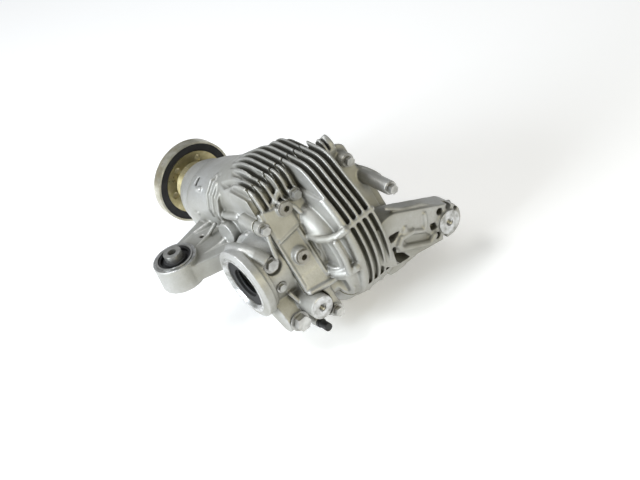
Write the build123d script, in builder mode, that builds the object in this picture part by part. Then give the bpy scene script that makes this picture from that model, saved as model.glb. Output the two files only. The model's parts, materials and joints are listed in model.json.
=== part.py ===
"""Rear-axle differential: finned aluminium housing and cover, bevel final drive and bevel differential.

Frame, in millimetres: the origin is where the pinion axis crosses the axle axis.
+X runs forward along the pinion axis to the input flange, +Y runs left along the axle, +Z is up.
"""
from build123d import *
import math
import os

os.makedirs("parts", exist_ok=True)

# ---------------------------------------------------------------- driving dimensions
# final drive: straight bevel gears whose cones meet at the origin
RING_TEETH = 40
PINION_TEETH = 13
DRIVE_MODULE = 4.0
DRIVE_FACE = 24.0
# differential gears
SIDE_TEETH = 16
SPIDER_TEETH = 10
DIFF_MODULE = 3.0
DIFF_FACE = 10.0
PRESSURE_ANGLE = 20.0
BACKLASH = 0.35
RUN_CLEARANCE = 0.05
SEAT_CLEARANCE = 0.03

# castings
JOINT_TILT = 22.5
JOINT_TOP_X = 4.0
TOP_Z = 120.0
NEAR_Y = 49.0
FIN_PITCH = 10.2
FIN_WIDTH = 3.8
FIRST_FIN_Y = 40.0
COVER_PLATE = 9.0

# interfaces
FLANGE_REAR_X = 262.0
FLANGE_FACE_X = 277.0
FLANGE_R = 60.0
LEFT_MOUTH_Y = 99.0
RIGHT_MOUTH_Y = -112.0
MOUTH_R = 38.0
BUSH_X, BUSH_Y = 118.0, 126.0
BUSH_TOP_Z = 25.0
MOUNT_THREAD_R = 5.1
LEFT_MOUNT = (-81.0, 44.0, -43.0)
RIGHT_MOUNT = (-103.0, -160.0, -44.0)


# ---------------------------------------------------------------- gear teeth
def tooth_outline(teeth, module, cone_angle, addendum, dedendum):
    """Half-width of a tooth at a few heights, on the back cone, for an involute of the equivalent gear."""
    virtual_r = teeth * module / 2 / math.cos(cone_angle)
    base_r = virtual_r * math.cos(math.radians(PRESSURE_ANGLE))
    pitch_half = math.pi * module / 4 - BACKLASH / 2

    def involute(radius):
        if radius <= base_r:
            return 0.0
        slope = math.acos(base_r / radius)
        return math.tan(slope) - slope

    points = []
    for height in (-dedendum, -dedendum / 2, 0.0, addendum / 2, addendum):
        radius = virtual_r + height
        half_angle = pitch_half / virtual_r + involute(virtual_r) - involute(radius)
        points.append((height, radius * half_angle))
    return points


def bevel_tooth(teeth, module, cone_angle, face, addendum, dedendum):
    """One straight bevel tooth on a gear whose axis is +Z and whose cone's apex is the origin."""
    outer = teeth * module / 2 / math.sin(cone_angle)
    along = Vector(math.sin(cone_angle), 0, math.cos(cone_angle))
    outline = tooth_outline(teeth, module, cone_angle, addendum, dedendum)
    sections = []
    for distance in (outer, outer - face):
        scale = distance / outer
        right = [(half * scale, height * scale) for height, half in outline]
        left = [(-u, v) for u, v in reversed(right)]
        # local x is the tangential direction and local y climbs from the root to the tip
        plane = Plane(origin=along * distance, x_dir=(0, -1, 0), z_dir=along)
        with BuildSketch(plane) as section:
            Polygon(*right, *left, align=None)
        sections.append(section.sketch.face())
    with BuildPart() as tooth:
        loft(sections, ruled=True)
    return tooth.part


def bevel_gear(count, mate_count, module, face, first_angle, back):
    """A straight bevel gear about +Z with its apex at the origin.

    back lists the (radius, height) points of the blank behind the teeth, from the large end of the
    tooth roots round the back to the bore at the small end.
    """
    cone_angle = math.atan2(count, mate_count)
    outer = count * module / 2 / math.sin(cone_angle)
    addendum = 0.75 * module
    dedendum = 1.05 * module
    depth = dedendum - 0.2
    ends = []
    for factor in ((outer - face - 0.3) / outer, (outer + 0.3) / outer):
        radius = (outer * math.sin(cone_angle) - depth * math.cos(cone_angle)) * factor
        height = (outer * math.cos(cone_angle) + depth * math.sin(cone_angle)) * factor
        ends.append((radius, height))
    tooth = bevel_tooth(count, module, cone_angle, face, addendum, dedendum)
    with BuildPart() as gear:
        add(turned([ends[0], ends[1], *back]))
        add([tooth.rotate(Axis.Z, first_angle + 360 / count * i) for i in range(count)])
    return gear.part


def turned(profile):
    """A solid of revolution about +Z from (radius, height) points."""
    with BuildPart() as blank:
        with BuildSketch(Plane.XZ):
            Polygon(*profile, align=None)
        revolve(axis=Axis.Z)
    return blank.part


def along_x(shape):
    """Turns a shape made about +Z so that its axis is +X."""
    return shape.rotate(Axis.Y, 90)


def along_y(shape):
    """Turns a shape made about +Z so that its axis is +Y."""
    return shape.rotate(Axis.X, -90)


def ring(inner, outer, low, high):
    """A plain ring about +Z."""
    return turned([(inner, low), (outer, low), (outer, high), (inner, high)])


# ---------------------------------------------------------------- joint between housing and cover
TILT = math.radians(JOINT_TILT)
JOINT = Plane(
    origin=(JOINT_TOP_X, 0, TOP_Z + 1),
    x_dir=(0, 1, 0),
    z_dir=(-math.cos(TILT), 0, math.sin(TILT)),
)


def joint_x(z, offset=0.0):
    """Where the sloping joint plane, moved rearwards by offset, crosses a height z."""
    return JOINT_TOP_X - (TOP_Z + 1 - z) * math.tan(TILT) - offset / math.cos(TILT)


# axle line: where the carrier, bearings and seals sit along Y
CHAMBER_R = 87.0
DRUM_FAR_Y = -67.0
CHAMBER_FAR_Y = -61.0
DRUM_NEAR_Y = 8.0
FIN_WALL_Y = -14.0
CASE_R = 44.0
CASE_CAVITY_R = 37.5
CARRIER_ROOM_R = 46.5
LEFT_SEAT = (60.0, 76.0)
RIGHT_SEAT = (-84.0, -68.0)
CUP_R = 36.0
SEAL_R = 34.0
SHOULDER_R = 31.0
OUTPUT_BOSS_R = 46.0
MOUTH_OUTER_R = 42.0

# pinion line: where its bearings and seal sit along X
HEAD_SEAT = (92.0, 112.0)
TAIL_SEAT = (190.0, 206.0)
HEAD_CUP_R = 36.0
TAIL_CUP_R = 31.0
PINION_SEAL = (214.0, 226.0)
PINION_SEAL_R = 33.0
NOSE_END_X = 240.0

BOLT_R = 4.2
BOLT_HEAD_R = 8.5
BOLT_BOSS_R = 9.5
FAR_PLATE_Y = -100.0
# cover bolts: (y, z, head seat x); the seat stands proud of the sloping plate on a boss
COVER_BOLTS = [
    (53.0, 70.0, joint_x(70.0, COVER_PLATE)),
    (-6.0, 86.0, joint_x(86.0, COVER_PLATE + 5)),
    (-87.0, 85.0, -36.0),
    (-102.0, 50.0, -90.0),
    (27.0, -61.0, joint_x(-61.0, COVER_PLATE)),
]
BOLT_DEPTH = 26.0


# ---------------------------------------------------------------- casting shapes
def slab(near_y, far_y, circles, edge_radius=0.0):
    """A block between two Y planes, its outline in XZ wrapped around circles given as (x, z, radius)."""
    with BuildPart() as block:
        with BuildSketch(Plane.XZ.offset(-near_y)):
            for x, z, radius in circles:
                with Locations((x, z)):
                    Circle(radius)
            make_hull()
        extrude(amount=near_y - far_y)
        if edge_radius:
            fillet(block.edges().group_by(Axis.Y)[-1], edge_radius)
    return block.part


def bar_x(y, z, radius, start, end):
    """A round bar along X."""
    with BuildPart() as bar:
        with BuildSketch(Plane.YZ.offset(min(start, end))):
            with Locations((y, z)):
                Circle(radius)
        extrude(amount=abs(end - start))
    return bar.part


def bar_y(x, z, radius, start, end):
    """A round bar along Y."""
    with BuildPart() as bar:
        with BuildSketch(Plane.XZ.offset(-max(start, end))):
            with Locations((x, z)):
                Circle(radius)
        extrude(amount=abs(end - start))
    return bar.part


def block(low, high):
    """A plain box between two corners."""
    with BuildPart() as box:
        with BuildSketch(Plane.XY.offset(low[2])):
            with Locations(((low[0] + high[0]) / 2, (low[1] + high[1]) / 2)):
                Rectangle(high[0] - low[0], high[1] - low[1])
        extrude(amount=high[2] - low[2])
    return box.part


# outlines in XZ as circles (x, z, radius) with a taut band round them
DRUM_TOP_CIRCLES = [(-25, 86, 34), (20, 86, 34)]
COVER_CIRCLES = [(-2, 4, 105.5), *DRUM_TOP_CIRCLES, (30, -70, 38)]
DRUM_CIRCLES = [(-2, 4, 104), (-25, 86, 34), (34, 74, 46), (30, -70, 38)]
DOME_CIRCLES = [(-8, -14, 84), (30, -70, 34)]
NEAR_CIRCLES = [(16, 76, 38), (-1, 101, 13), (-50, -38, 20), (30, -62, 30)]
SHOULDER_CIRCLES = [(-3, 103, 16), (30, 76, 44), (0, 40, 30)]
# floors that the gaps between fins run out on, from the near side to the far side
NEAR_FLOORS = [
    [(2, 96, 6), (-7, 84, 4), (34, 62, 40)],
    [(2, 96, 6), (-7, 84, 4), (34, 62, 40)],
    [(2, 96, 6), (-7, 84, 4), (46, 62, 38), (74, 74, 33)],
    [(2, 96, 6), (-7, 84, 4), (58, 62, 40), (102, 70, 33)],
    [(0, 96, 8), (-9, 84, 4), (60, 60, 43), (112, 64, 34), (170, 40, 30)],
    [(-2, 97, 8), (-11, 84, 4), (60, 58, 46), (112, 62, 36), (170, 40, 30)],
    [(-2, 97, 8), (-11, 84, 4), (60, 58, 46), (112, 62, 36), (170, 40, 30)],
]
DRUM_FLOOR = [(-6, -5, 92), (-25, 86, 18), (60, 58, 46), (112, 62, 36), (170, 40, 30)]


def fin_slot(index):
    """The space between two neighbouring fins, from the top down to the floor it runs out on."""
    centre = FIRST_FIN_Y + FIN_PITCH / 2 - FIN_PITCH * index
    half = (FIN_PITCH - FIN_WIDTH) / 2
    near = index < len(NEAR_FLOORS)
    floor = NEAR_FLOORS[index] if near else DRUM_FLOOR
    lowest = 84.0 if near else -60.0
    outside = slab(centre + half, centre - half, [(-60, 60, 90), (60, 60, 90), (-60, lowest + 60, 60)])
    above = block((-160, centre - half - 1, lowest), (160, centre + half + 1, 160))
    return (outside & above) - slab(centre + half + 1, centre - half - 1, floor)


def casting(circles, far_radius):
    """The outside around the ring gear and the near wall, before it is parted at the joint."""
    with BuildPart() as whole:
        add(slab(FIN_WALL_Y, DRUM_FAR_Y, circles, 7))
        if far_radius:
            fillet(whole.edges().group_by(Axis.Y)[0], far_radius)
        # smooth dome on the near side and the shoulder that carries the near fins
        add(slab(DRUM_NEAR_Y, FIN_WALL_Y - 6, DOME_CIRCLES, 22))
        add(slab(DRUM_NEAR_Y + 2, FIN_WALL_Y - 6, SHOULDER_CIRCLES))
        add(slab(NEAR_Y, DRUM_NEAR_Y - 20, NEAR_CIRCLES, 9))
    return whole.part


def front_cone():
    """The tapering front of the housing, from the ring-gear chamber to the round nose."""
    sections = [
        (16, -9, 4, 108, 218, 34),
        (72, -9, 9, 106, 204, 46),
        (120, -4, 8.5, 102, 157, 48),
        (165, 0, 5, 108, 130, 52),
        (205, 0, 0, 98, 98, 48.5),
    ]
    faces = []
    for x, y, z, width, height, radius in sections:
        with BuildSketch(Plane.YZ.offset(x)) as outline:
            with Locations((y, z)):
                RectangleRounded(width, height, radius)
        faces.append(outline.sketch.face())
    with BuildPart() as cone:
        loft(faces)
        with BuildSketch(Plane.XY):
            with BuildLine():
                Line((200, 0), (200, 49))
                Line((200, 49), (205, 49))
                ThreePointArc((205, 49), (226, 45.5), (NOSE_END_X, 38.8))
                Line((NOSE_END_X, 38.8), (NOSE_END_X, 0))
                Line((NOSE_END_X, 0), (200, 0))
            make_face()
        revolve(axis=Axis.X)
    return cone.part


def joint_plate(near_y, far_y, top, bottom, corner, start, thickness):
    """A plate lying on the sloping joint: y range, distances down the slope, and its depth rearwards."""
    with BuildPart() as plate:
        with BuildSketch(JOINT.offset(start)):
            with Locations(((near_y + far_y) / 2, (top + bottom) / 2)):
                RectangleRounded(near_y - far_y, bottom - top, corner)
        extrude(amount=thickness)
    return plate.part


def hull_plate(plane, circles, thickness):
    """A flat plate on a plane whose outline is wrapped around circles given as (u, v, radius)."""
    with BuildPart() as plate:
        with BuildSketch(plane):
            for u, v, radius in circles:
                with Locations((u, v)):
                    Circle(radius)
            make_hull()
        extrude(amount=thickness)
    return plate.part


DOWEL_R = 4.0
DOWELS = [(38.0, 148.0), (-91.0, 130.0)]
PLUG_R = 7.5
SEALANT = 0.8


def dowel(y, s, radius, rearward, forward=8.0):
    """A round bar square to the joint, reaching rearward into the cover and forward into the housing."""
    with BuildPart() as bar:
        with BuildSketch(JOINT.offset(-forward)):
            with Locations((y, s)):
                Circle(radius)
        extrude(amount=forward + rearward)
    return bar.part


def hex_bolt(y, z, seat, shank_r, hex_r, head, flange_r, end):
    """A flanged hex bolt along X: its head stands rearwards of the seat and its shank ends at end."""
    with BuildPart() as bolt:
        add(bar_x(y, z, shank_r, seat - 1, end))
        add(bar_x(y, z, flange_r, seat - 1.6, seat))
        with BuildSketch(Plane.YZ.offset(seat - 1.6 - head)):
            with Locations((y, z)):
                RegularPolygon(hex_r, 6)
        extrude(amount=head + 1)
    return bolt.part


def chamber_space():
    """Everything that is hollow inside the castings."""
    with BuildPart() as space:
        # ring gear chamber, narrowing on the near side along the tips of the teeth
        add(along_y(turned([
            (0, CHAMBER_FAR_Y), (CHAMBER_R, CHAMBER_FAR_Y), (CHAMBER_R, -24), (82, -20), (57, -13), (0, -13),
        ])))
        add(along_y(turned([(0, -20), (CARRIER_ROOM_R, -20), (CARRIER_ROOM_R, 40), (38, 58), (0, 58)])))
        # left bearing seat, shoulder, seal bore and chamfered mouth
        add(bar_y(0, 0, CUP_R + SEAT_CLEARANCE, LEFT_SEAT[0] - 3, LEFT_SEAT[1]))
        add(bar_y(0, 0, SHOULDER_R, LEFT_SEAT[1] - 1, 84))
        add(along_y(turned([(0, 82), (SEAL_R, 82), (SEAL_R, 95), (MOUTH_R, 99), (MOUTH_R, 101), (0, 101)])))
        # right bearing seat, shoulder, seal bore and chamfered mouth
        add(bar_y(0, 0, CUP_R + SEAT_CLEARANCE, RIGHT_SEAT[0], CHAMBER_FAR_Y + 1))
        add(bar_y(0, 0, SHOULDER_R, -92, RIGHT_SEAT[0] + 1))
        add(along_y(turned([(0, -90), (SEAL_R, -90), (SEAL_R, -108), (MOUTH_R, -112), (MOUTH_R, -114), (0, -114)])))
        # pinion room, head bearing seat, waist, tail bearing seat and seal bore
        add(bar_x(0, 0, HEAD_CUP_R + 0.5, 40, HEAD_SEAT[0]))
        add(bar_x(0, 0, HEAD_CUP_R + SEAT_CLEARANCE, HEAD_SEAT[0] - 1, HEAD_SEAT[1]))
        add(bar_x(0, 0, SHOULDER_R, HEAD_SEAT[1] - 1, 122))
        add(bar_x(0, 0, 38, 120, 178))
        add(bar_x(0, 0, 27, 177, TAIL_SEAT[0] + 1))
        add(bar_x(0, 0, TAIL_CUP_R + SEAT_CLEARANCE, TAIL_SEAT[0], TAIL_SEAT[1] + 1))
        add(bar_x(0, 0, PINION_SEAL_R, TAIL_SEAT[1], NOSE_END_X + 1))
    return space.part


SPACE = chamber_space()
SLOTS = [fin_slot(index) for index in range(13)]
JOINT_GROOVE = block((JOINT_TOP_X - 1.4, -95, 104), (JOINT_TOP_X + 1.4, 55, 130))

# ---------------------------------------------------------------- front housing
EAR_R = 31.0
EAR_TOP_Z = 15.0
EAR_BOTTOM_Z = -22.0
BUSH_OUTER_R = 26.0
LUG_BOLT = (70.0, -58.0, -56.0)
# side screws: (y, z, seat x, recess radius, shank radius, depth)
SIDE_SCREWS = [(67.0, 27.0, -36.5, 13.0, 4.2, 4.0), (69.0, -6.0, -43.5, 8.5, 3.2, 4.5)]
BREATHER = (42.0, -86.0, -50.0)

with BuildPart() as front_housing:
    add(casting(DRUM_CIRCLES, 24))
    add(front_cone())
    # output bosses on the axle line
    add(bar_y(0, 0, OUTPUT_BOSS_R, 30, NEAR_Y))
    add(bar_y(0, 0, OUTPUT_BOSS_R, RIGHT_MOUTH_Y, DRUM_FAR_Y + 2))
    # flange strip on the far side of the joint
    add(joint_plate(-55, FAR_PLATE_Y, 26, 146, 10, -12, 12))
    # lug for the lowest bolt
    add(hull_plate(JOINT.offset(-14), [(30, 165, 14), (27, 197, 10.5)], 14))
    # threaded bosses for the cover bolts
    for y, z, seat in COVER_BOLTS:
        add(bar_x(y, z, BOLT_BOSS_R, joint_x(z) - 10, joint_x(z) + BOLT_DEPTH + 8))
    # no fins ahead of the joint on the far side
    add(block((JOINT_TOP_X, -110, 106), (60, -65, 140)), mode=Mode.SUBTRACT)
    split(bisect_by=JOINT, keep=Keep.BOTTOM)
    add(along_y(turned([
        (0, NEAR_Y), (OUTPUT_BOSS_R + 2, NEAR_Y), (OUTPUT_BOSS_R, NEAR_Y + 8), (MOUTH_OUTER_R + 1, LEFT_MOUTH_Y - 12),
        (MOUTH_OUTER_R, LEFT_MOUTH_Y), (0, LEFT_MOUTH_Y),
    ])))
    # rear mount boss on the near side
    add(bar_x(LEFT_MOUNT[1], LEFT_MOUNT[2], 16.5, LEFT_MOUNT[0], 0))
    # lower lug with the large bolt, and the breather's boss
    add(slab(84, 56, [(0, -22, 24), (-40, -58, 15)]))
    y, z, x = BREATHER
    add(bar_x(y, z, 7.5, x, 20))
    # front ear: round eye, web and gussets
    add(hull_plate(Plane.XY.offset(EAR_BOTTOM_Z + 4), [(BUSH_X, BUSH_Y, 27), (150, 30, 22), (84, 40, 24)], 26))
    with BuildSketch(Plane.XY.offset(EAR_BOTTOM_Z)):
        with Locations((BUSH_X, BUSH_Y)):
            Circle(EAR_R)
    extrude(amount=EAR_TOP_Z - EAR_BOTTOM_Z)
    for x in (92, 105, 118):
        with BuildSketch(Plane.YZ.offset(x - 2.5)):
            Polygon((20, 20), (52, 30), (55, 46), (48, 68), (34, 82), (20, 84), align=None)
        extrude(amount=5)
    with BuildSketch(Plane.XY.offset(EAR_BOTTOM_Z - 1)):
        with Locations((BUSH_X, BUSH_Y)):
            Circle(BUSH_OUTER_R + SEAT_CLEARANCE)
    extrude(amount=EAR_TOP_Z - EAR_BOTTOM_Z + 60, mode=Mode.SUBTRACT)
    add(SPACE, mode=Mode.SUBTRACT)
    add(SLOTS, mode=Mode.SUBTRACT)
    add(JOINT_GROOVE, mode=Mode.SUBTRACT)
    for y, z, seat in COVER_BOLTS:
        add(bar_x(y, z, BOLT_R + SEAT_CLEARANCE, seat - 5, joint_x(z) + BOLT_DEPTH), mode=Mode.SUBTRACT)
    for y, z, seat, recess, hole, depth in SIDE_SCREWS:
        add(bar_x(y, z, recess, seat - 40, seat), mode=Mode.SUBTRACT)
        add(bar_x(y, z, hole + SEAT_CLEARANCE, seat - 1, seat + depth), mode=Mode.SUBTRACT)
    y, z, seat = LUG_BOLT
    add(bar_x(y, z, 7 + SEAT_CLEARANCE, seat - 1, seat + 34), mode=Mode.SUBTRACT)
    y, z, x = BREATHER
    add(bar_x(y, z, 4 + SEAT_CLEARANCE, x - 1, x + 12), mode=Mode.SUBTRACT)
    x, y, z = LEFT_MOUNT
    add(bar_x(y, z, MOUNT_THREAD_R, x - 1, x + 32), mode=Mode.SUBTRACT)
    for y, s in DOWELS:
        add(dowel(y, s, DOWEL_R + SEAT_CLEARANCE, 10), mode=Mode.SUBTRACT)
front_housing.part.label = "front_housing"
export_step(front_housing.part, "parts/front_housing.step")

# ---------------------------------------------------------------- rear cover
PLUGS = [(16.0, 80.0, -30.0), (30.0, 21.0, -54.0)]
PLUG_BOSS_R = 11.0
ARM_FRONT_X = -66.0
ARM_REAR_X = -99.0

with BuildPart() as cover_whole:
    add(casting(COVER_CIRCLES, 0))
    # fins on the far shoulder
    add(slab(DRUM_FAR_Y + 1, -85, [(10, 102, 18), (-7, 103, 17), (0, 70, 20)]))
    split(bisect_by=JOINT, keep=Keep.TOP)
    # near side: open behind a flat plate, up to the shelf under the fins
    behind_plate = joint_plate(80, DRUM_NEAR_Y, -20, 260, 5, COVER_PLATE, 80)
    add(behind_plate & block((-200, 8, -200), (50, 80, 88)), mode=Mode.SUBTRACT)
    add(joint_plate(NEAR_Y, FIN_WALL_Y - 4, 26, 168, 6, 0, COVER_PLATE))
    add(joint_plate(-55, FAR_PLATE_Y, 26, 146, 10, 0, COVER_PLATE))
    add(hull_plate(JOINT, [(30, 165, 14), (27, 197, 10.5)], COVER_PLATE))
    for y, z, seat in COVER_BOLTS:
        add(bar_x(y, z, BOLT_BOSS_R, seat, joint_x(z) + 12))
    for y, z, face in PLUGS:
        add(bar_x(y, z, PLUG_BOSS_R, face, face + 34))
    add(SLOTS, mode=Mode.SUBTRACT)
    # right arm: tapering paddle with a threaded boss at its end
    add(hull_plate(Plane.YZ.offset(ARM_REAR_X), [(-159, -43, 24), (-78, -15, 37)], ARM_FRONT_X - ARM_REAR_X))
    split(bisect_by=JOINT, keep=Keep.TOP)
    add(bar_x(RIGHT_MOUNT[1], RIGHT_MOUNT[2], 16.5, RIGHT_MOUNT[0], ARM_FRONT_X))
    add(SPACE, mode=Mode.SUBTRACT)
    add(JOINT_GROOVE, mode=Mode.SUBTRACT)
    add(bar_x(LEFT_MOUNT[1], LEFT_MOUNT[2], 18.5, -120, 20), mode=Mode.SUBTRACT)
    for y, z, seat in COVER_BOLTS:
        add(bar_x(y, z, BOLT_R + SEAT_CLEARANCE, seat - 30, 30), mode=Mode.SUBTRACT)
        add(bar_x(y, z, BOLT_HEAD_R + 0.5, seat - 40, seat), mode=Mode.SUBTRACT)
    for y, z, face in PLUGS:
        add(bar_x(y, z, PLUG_R + SEAT_CLEARANCE, face - 1, face + 14), mode=Mode.SUBTRACT)
        add(bar_x(y, z, PLUG_BOSS_R, face - 20, face), mode=Mode.SUBTRACT)
    x, y, z = RIGHT_MOUNT
    add(bar_x(y, z, MOUNT_THREAD_R, x - 1, x + 30), mode=Mode.SUBTRACT)
    for y, s in DOWELS:
        add(dowel(y, s, DOWEL_R + SEAT_CLEARANCE, 7), mode=Mode.SUBTRACT)

with BuildPart() as rear_cover:
    add(cover_whole.part)
    split(bisect_by=JOINT.offset(SEALANT), keep=Keep.TOP)
rear_cover.part.label = "rear_cover"
export_step(rear_cover.part, "parts/rear_cover.step")

# bead of sealant squeezed flat where the two castings meet
SMALLEST_BEAD = 25.0
with BuildPart() as squeezed:
    add(cover_whole.part)
    split(bisect_by=JOINT.offset(SEALANT), keep=Keep.BOTTOM)
    add(front_housing.part.moved(Location(JOINT.z_dir * SEALANT)), mode=Mode.INTERSECT)
with BuildPart() as joint_sealant:
    add([piece for piece in squeezed.part.solids() if piece.volume > SMALLEST_BEAD])
joint_sealant.part.label = "joint_sealant"
export_step(joint_sealant.part, "parts/joint_sealant.step")

# ---------------------------------------------------------------- fasteners and fittings on the castings
with BuildPart() as cover_bolts:
    for y, z, seat in COVER_BOLTS:
        add(hex_bolt(y, z, seat, BOLT_R, 6.5, 6.0, 8.4, joint_x(z) + BOLT_DEPTH - 1))
cover_bolts.part.label = "cover_bolts"
export_step(cover_bolts.part, "parts/cover_bolts.step")

with BuildPart() as dowel_pins:
    for y, s in DOWELS:
        add(dowel(y, s, DOWEL_R, 6.5, 7.0))
dowel_pins.part.label = "dowel_pins"
export_step(dowel_pins.part, "parts/dowel_pins.step")

with BuildPart() as side_screws:
    for y, z, seat, recess, hole, depth in SIDE_SCREWS:
        add(hex_bolt(y, z, seat, hole, recess * 0.62, hole, recess * 0.84, seat + depth - 0.5))
side_screws.part.label = "side_screws"
export_step(side_screws.part, "parts/side_screws.step")

with BuildPart() as lug_bolt:
    y, z, seat = LUG_BOLT
    add(hex_bolt(y, z, seat, 7.0, 10.8, 9.5, 13.6, seat + 33))
lug_bolt.part.label = "lug_bolt"
export_step(lug_bolt.part, "parts/lug_bolt.step")

WASHER = 1.2
for name, (y, z, face) in zip(("filler_plug", "drain_plug"), PLUGS):
    with BuildPart() as plug:
        add(bar_x(y, z, 9.2, face - WASHER - 3, face - WASHER))
        add(bar_x(y, z, PLUG_R, face - WASHER - 1, face + 12))
        with BuildSketch(Plane.YZ.offset(face - WASHER - 4)):
            with Locations((y, z)):
                RegularPolygon(4.6, 6)
        extrude(amount=9, mode=Mode.SUBTRACT)
    plug.part.label = name
    export_step(plug.part, f"parts/{name}.step")

with BuildPart() as plug_washers:
    for y, z, face in PLUGS:
        washer = bar_x(y, z, 10.2, face - WASHER, face) - bar_x(y, z, PLUG_R + 0.1, face - 3, face + 1)
        add(washer)
plug_washers.part.label = "plug_washers"
export_step(plug_washers.part, "parts/plug_washers.step")

with BuildPart() as breather:
    y, z, x = BREATHER
    add(bar_x(y, z, 4.0, x - 8, x + 11))
    add(bar_x(y, z, 5.6, x - 19, x - 4))
    add(bar_x(y, z, 6.6, x - 4, x))
breather.part.label = "breather"
export_step(breather.part, "parts/breather.step")

# ---------------------------------------------------------------- front bush
BUSH_SLEEVE_R = 12.5
BUSH_HOLE_R = 6.1
BUSH_RUBBER_R = 23.5


def bush_ring(inner, outer, low, high):
    """A ring about the front bush's vertical axis."""
    return Pos(BUSH_X, BUSH_Y, 0) * ring(inner, outer, low, high)


with BuildPart() as bush_shell:
    add(bush_ring(BUSH_RUBBER_R + 0.02, BUSH_OUTER_R, EAR_BOTTOM_Z - 2, EAR_TOP_Z + 1.5))
bush_shell.part.label = "bush_shell"
export_step(bush_shell.part, "parts/bush_shell.step")

with BuildPart() as bush_rubber:
    add(bush_ring(BUSH_SLEEVE_R + 0.02, BUSH_RUBBER_R, EAR_BOTTOM_Z, EAR_TOP_Z))
    # the rubber is hollowed at both ends
    add(bush_ring(15.5, 20.5, EAR_TOP_Z - 5, EAR_TOP_Z + 1), mode=Mode.SUBTRACT)
    add(bush_ring(15.5, 20.5, EAR_BOTTOM_Z - 1, EAR_BOTTOM_Z + 5), mode=Mode.SUBTRACT)
bush_rubber.part.label = "bush_rubber"
export_step(bush_rubber.part, "parts/bush_rubber.step")

with BuildPart() as bush_sleeve:
    add(bush_ring(BUSH_HOLE_R, BUSH_SLEEVE_R, EAR_BOTTOM_Z - 5, BUSH_TOP_Z))
bush_sleeve.part.label = "bush_sleeve"
export_step(bush_sleeve.part, "parts/bush_sleeve.step")


# ---------------------------------------------------------------- oil seals and taper bearings
def oil_seal(bore, outer, low, high):
    """A lip seal about +Z: a metal can with a sprung lip; its open side faces low."""
    return turned([
        (bore, high - 5), (bore + 2.5, high - 8), (bore + 2.5, high - 2.2), (outer - 3, high - 2.2),
        (outer - 3, low), (outer, low), (outer, high), (bore + 1.2, high), (bore + 1.2, high - 3.5),
    ])


def bearing_inner(bore, large, small, width, roller_r, count):
    """Inner ring about +Z, large end at z 0, with its caged rollers."""
    lean = math.atan2(large - small, width)
    with BuildPart() as cone:
        add(ring(bore, small, 0, width) + turned([(bore + 1, 0), (large, 0), (small, width), (bore + 1, width)]))
        centre = (large + small) / 2 + (roller_r - 0.15) / math.cos(lean)
        roller = Cylinder(roller_r, width * 0.76, mode=Mode.PRIVATE)
        roller = Pos(centre, 0, width / 2) * (Rot(0, -math.degrees(lean), 0) * roller)
        add([roller.rotate(Axis.Z, 360 / count * i) for i in range(count)])
    return cone.part


def bearing_cup(outer, large, small, width, roller_r):
    """Outer ring about +Z for the matching inner ring, large end at z 0."""
    lean = math.atan2(large - small, width)
    reach = (2 * roller_r - 0.15 + 0.05) / math.cos(lean)
    return turned([(large + reach, 0), (outer, 0), (outer, width), (small + reach, width)])


CARRIER_BEARING = (27.5, 25.5, 15.0, 2.6)
HEAD_BEARING = (26.0, 23.0, 20.0, 3.2)
TAIL_BEARING = (21.5, 19.5, 16.0, 2.8)
CARRIER_SHIM = 1.0

with BuildPart() as left_output_seal:
    add(along_y(oil_seal(20.0, SEAL_R - SEAT_CLEARANCE, 84, 94)))
left_output_seal.part.label = "left_output_seal"
export_step(left_output_seal.part, "parts/left_output_seal.step")

with BuildPart() as right_output_seal:
    add(along_y(oil_seal(20.0, SEAL_R - SEAT_CLEARANCE, 93, 103)).mirror(Plane.XZ))
right_output_seal.part.label = "right_output_seal"
export_step(right_output_seal.part, "parts/right_output_seal.step")

with BuildPart() as pinion_seal:
    add(along_x(oil_seal(22.0 + RUN_CLEARANCE, PINION_SEAL_R - SEAT_CLEARANCE, *PINION_SEAL)))
pinion_seal.part.label = "pinion_seal"
export_step(pinion_seal.part, "parts/pinion_seal.step")

left_cup = along_y(Pos(0, 0, LEFT_SEAT[0]) * bearing_cup(CUP_R, *CARRIER_BEARING))
with BuildPart() as carrier_bearing_cups:
    add(left_cup)
    add(Pos(0, LEFT_SEAT[0] + RIGHT_SEAT[1], 0) * left_cup.mirror(Plane.XZ))
carrier_bearing_cups.part.label = "carrier_bearing_cups"
export_step(carrier_bearing_cups.part, "parts/carrier_bearing_cups.step")

with BuildPart() as carrier_shims:
    add(along_y(ring(SHOULDER_R + 0.5, CUP_R, LEFT_SEAT[1] - CARRIER_SHIM, LEFT_SEAT[1])))
    add(along_y(ring(SHOULDER_R + 0.5, CUP_R, RIGHT_SEAT[0], RIGHT_SEAT[0] + CARRIER_SHIM)))
carrier_shims.part.label = "carrier_shims"
export_step(carrier_shims.part, "parts/carrier_shims.step")

with BuildPart() as pinion_bearing_cups:
    add(along_x(Pos(0, 0, HEAD_SEAT[0]) * bearing_cup(HEAD_CUP_R, *HEAD_BEARING)))
    add(along_x(Pos(0, 0, TAIL_SEAT[1]) * bearing_cup(TAIL_CUP_R, *TAIL_BEARING).mirror(Plane.XY)))
pinion_bearing_cups.part.label = "pinion_bearing_cups"
export_step(pinion_bearing_cups.part, "parts/pinion_bearing_cups.step")

# ---------------------------------------------------------------- input shaft
HEAD_SHAFT_R = 17.5
TAIL_SHAFT_R = 15.0
HUB_R = 22.0
RECESS_R = 27.0
RECESS_X = 266.0
NUT = 9.0
DAMPER_IN_R = 46.0
DAMPER_OUT_R = 57.0
FLANGE_HOLE_R = 5.0
FLANGE_PCD = 72.0
PINION_SHIM = 1.0
head_x = HEAD_SEAT[0] - PINION_SHIM

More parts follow.
